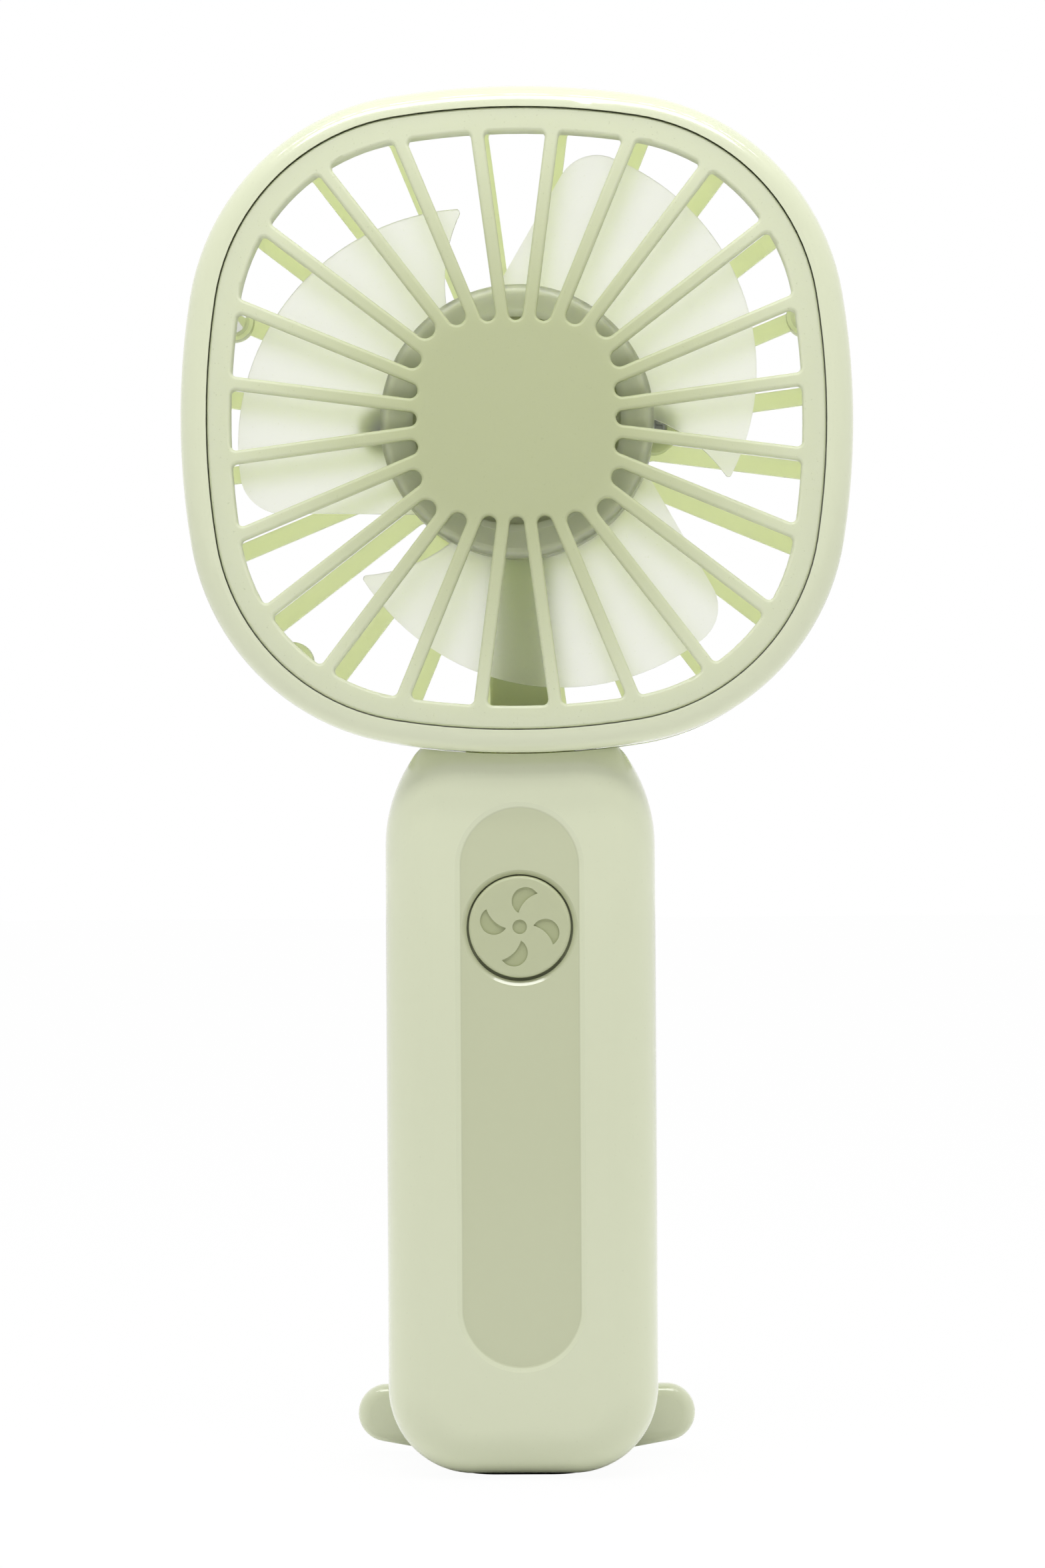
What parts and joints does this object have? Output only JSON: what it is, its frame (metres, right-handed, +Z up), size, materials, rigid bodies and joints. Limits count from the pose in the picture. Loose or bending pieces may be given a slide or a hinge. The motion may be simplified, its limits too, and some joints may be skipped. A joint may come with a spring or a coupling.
{
  "type": "handheld fan",
  "caption": "Battery handheld fan with a rounded square grilled head, a slim handle with a push button, a USB charging socket and a fold-out rear stand.",
  "frame": {"origin": "centre of the underside of the pad under the handle, where the fan stands", "axes": "+Z up along the handle, -Y out of the front grille, +X to the right seen from the front"},
  "size_m": [0.0974, 0.0385, 0.2023],
  "materials": {
    "grille_plastic": "satin, pale green",
    "shell_plastic": "gloss, pale green",
    "rear_plastic": "satin, pale green",
    "fan_plastic": "gloss, pale green",
    "button_plastic": "satin, pale green",
    "pad_rubber": "matt",
    "foam": "matt foam",
    "motor_steel": "plated",
    "core_steel": "laminated",
    "shaft_steel": "ground",
    "screw_steel": "plated",
    "socket_steel": "plated",
    "magnet": "sintered",
    "copper": "enamelled",
    "bronze": "sintered",
    "nickel": "plated",
    "end_cap_plastic": "moulded",
    "switch_plastic": "moulded",
    "board": "solder mask",
    "chip_plastic": "moulded",
    "cell_can": "film wrapped",
    "lead_red": "insulation",
    "lead_black": "insulation"
  },
  "bodies": {
    "housing": {"base_pad": "pad_rubber", "battery_cap": "nickel", "battery_cell": "cell_can", "battery_foam": "foam", "battery_lead_black": "lead_black", "battery_lead_red": "lead_red", "battery_tabs": "nickel", "board_parts": "chip_plastic", "board_screws": "screw_steel", "circuit_board": "board", "front_bezel": "shell_plastic", "front_grille": "grille_plastic", "handle_front": "shell_plastic", "handle_rear": "shell_plastic", "handle_screws": "screw_steel", "head_screws": "screw_steel", "motor_brushes": "copper", "motor_bushes": "bronze", "motor_can": "motor_steel", "motor_cover": "rear_plastic", "motor_cover_screws": "screw_steel", "motor_end_cap": "end_cap_plastic", "motor_lead_black": "lead_black", "motor_lead_red": "lead_red", "motor_magnets": "magnet", "motor_mount": "rear_plastic", "motor_pad": "foam", "motor_terminals": "copper", "neck_screws": "screw_steel", "rear_grille": "rear_plastic", "rear_housing": "rear_plastic", "stand_pin": "shaft_steel", "switch_body": "switch_plastic", "switch_dome": "shaft_steel", "usb_shell": "socket_steel", "usb_tongue": "chip_plastic", "wire_cover": "rear_plastic"},
    "rotor": {"impeller": "fan_plastic", "motor_shaft": "shaft_steel", "rotor_core": "core_steel", "rotor_coils": "copper", "commutator": "copper"},
    "button": {"button_cap": "button_plastic", "switch_plunger": "switch_plastic"},
    "stand": {"stand": "shell_plastic"}
  },
  "joints": [
    {"name": "fan_spin", "type": "hinge", "parent": "housing", "child": "rotor", "pos_m": [0, 0, 0.154], "axis": [0, 1, 0], "continuous": true},
    {"name": "button_press", "type": "slide", "parent": "housing", "child": "button", "axis": [0, 1, 0], "range_m": [0, 0.0005], "stiffness_N_per_m": 2400},
    {"name": "stand_fold", "type": "hinge", "parent": "housing", "child": "stand", "pos_m": [0, 0.0125, 0.062], "axis": [1, 0, 0], "range_deg": [0, 50]}
  ]
}
